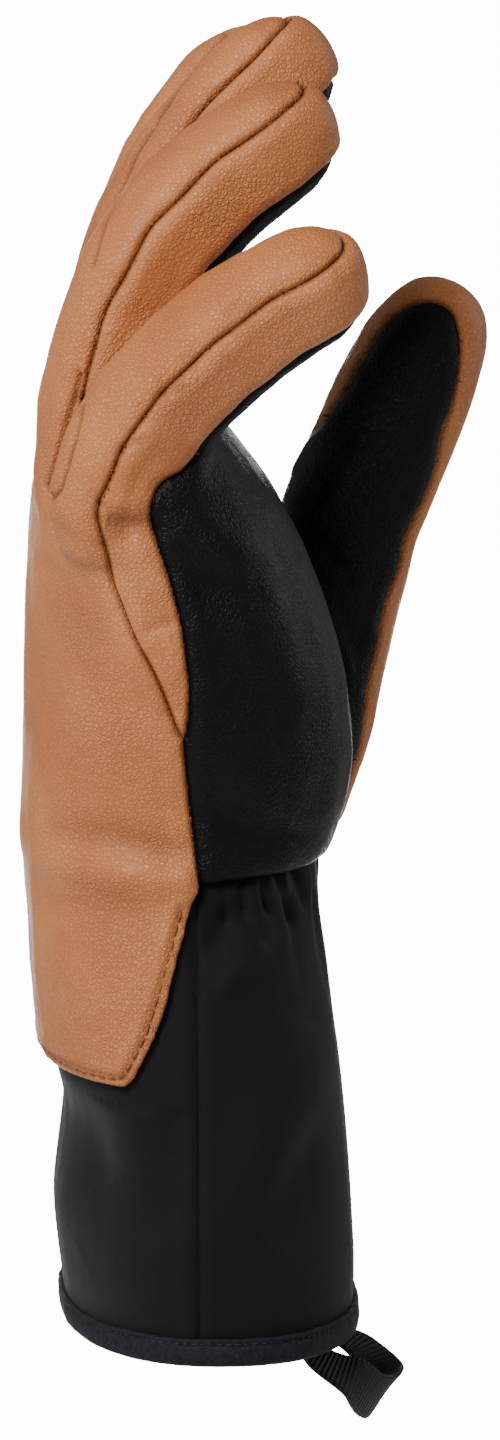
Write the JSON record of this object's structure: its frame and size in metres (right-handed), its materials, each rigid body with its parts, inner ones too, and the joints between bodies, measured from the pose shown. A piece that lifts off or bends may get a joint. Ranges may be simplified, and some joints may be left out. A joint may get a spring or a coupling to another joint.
{
  "type": "heated leather glove",
  "caption": "Right-hand leather glove with box fingers, a flap over the wrist, a long softshell cuff and a webbing hang loop.",
  "frame": {"origin": "middle of the cuff opening, on the plane of the hem", "axes": "+Z from the cuff opening to the fingertips, -X the back of the hand, +X the palm, -Y the little finger's side, +Y the thumb's side"},
  "size_m": [0.1003, 0.1102, 0.285],
  "materials": {
    "tan_leather": "soft pebble grain",
    "black_leather": "soft sheen",
    "softshell": "matte knit",
    "hem_tape": "matte tape",
    "webbing": "ribbed webbing"
  },
  "bodies": {
    "root": {"back_panel": "tan_leather", "little_back": "tan_leather", "ring_back": "tan_leather", "middle_back": "tan_leather", "index_back": "tan_leather", "wrist_flap": "tan_leather", "palm_panel": "black_leather", "little_sidewall": "tan_leather", "ring_sidewall": "tan_leather", "middle_sidewall": "tan_leather", "index_sidewall": "tan_leather", "thumb_front": "black_leather", "thumb_back": "tan_leather", "cuff_back": "softshell", "cuff_palm": "softshell", "hem_binding": "hem_tape", "hang_loop": "webbing"}
  },
  "joints": []
}
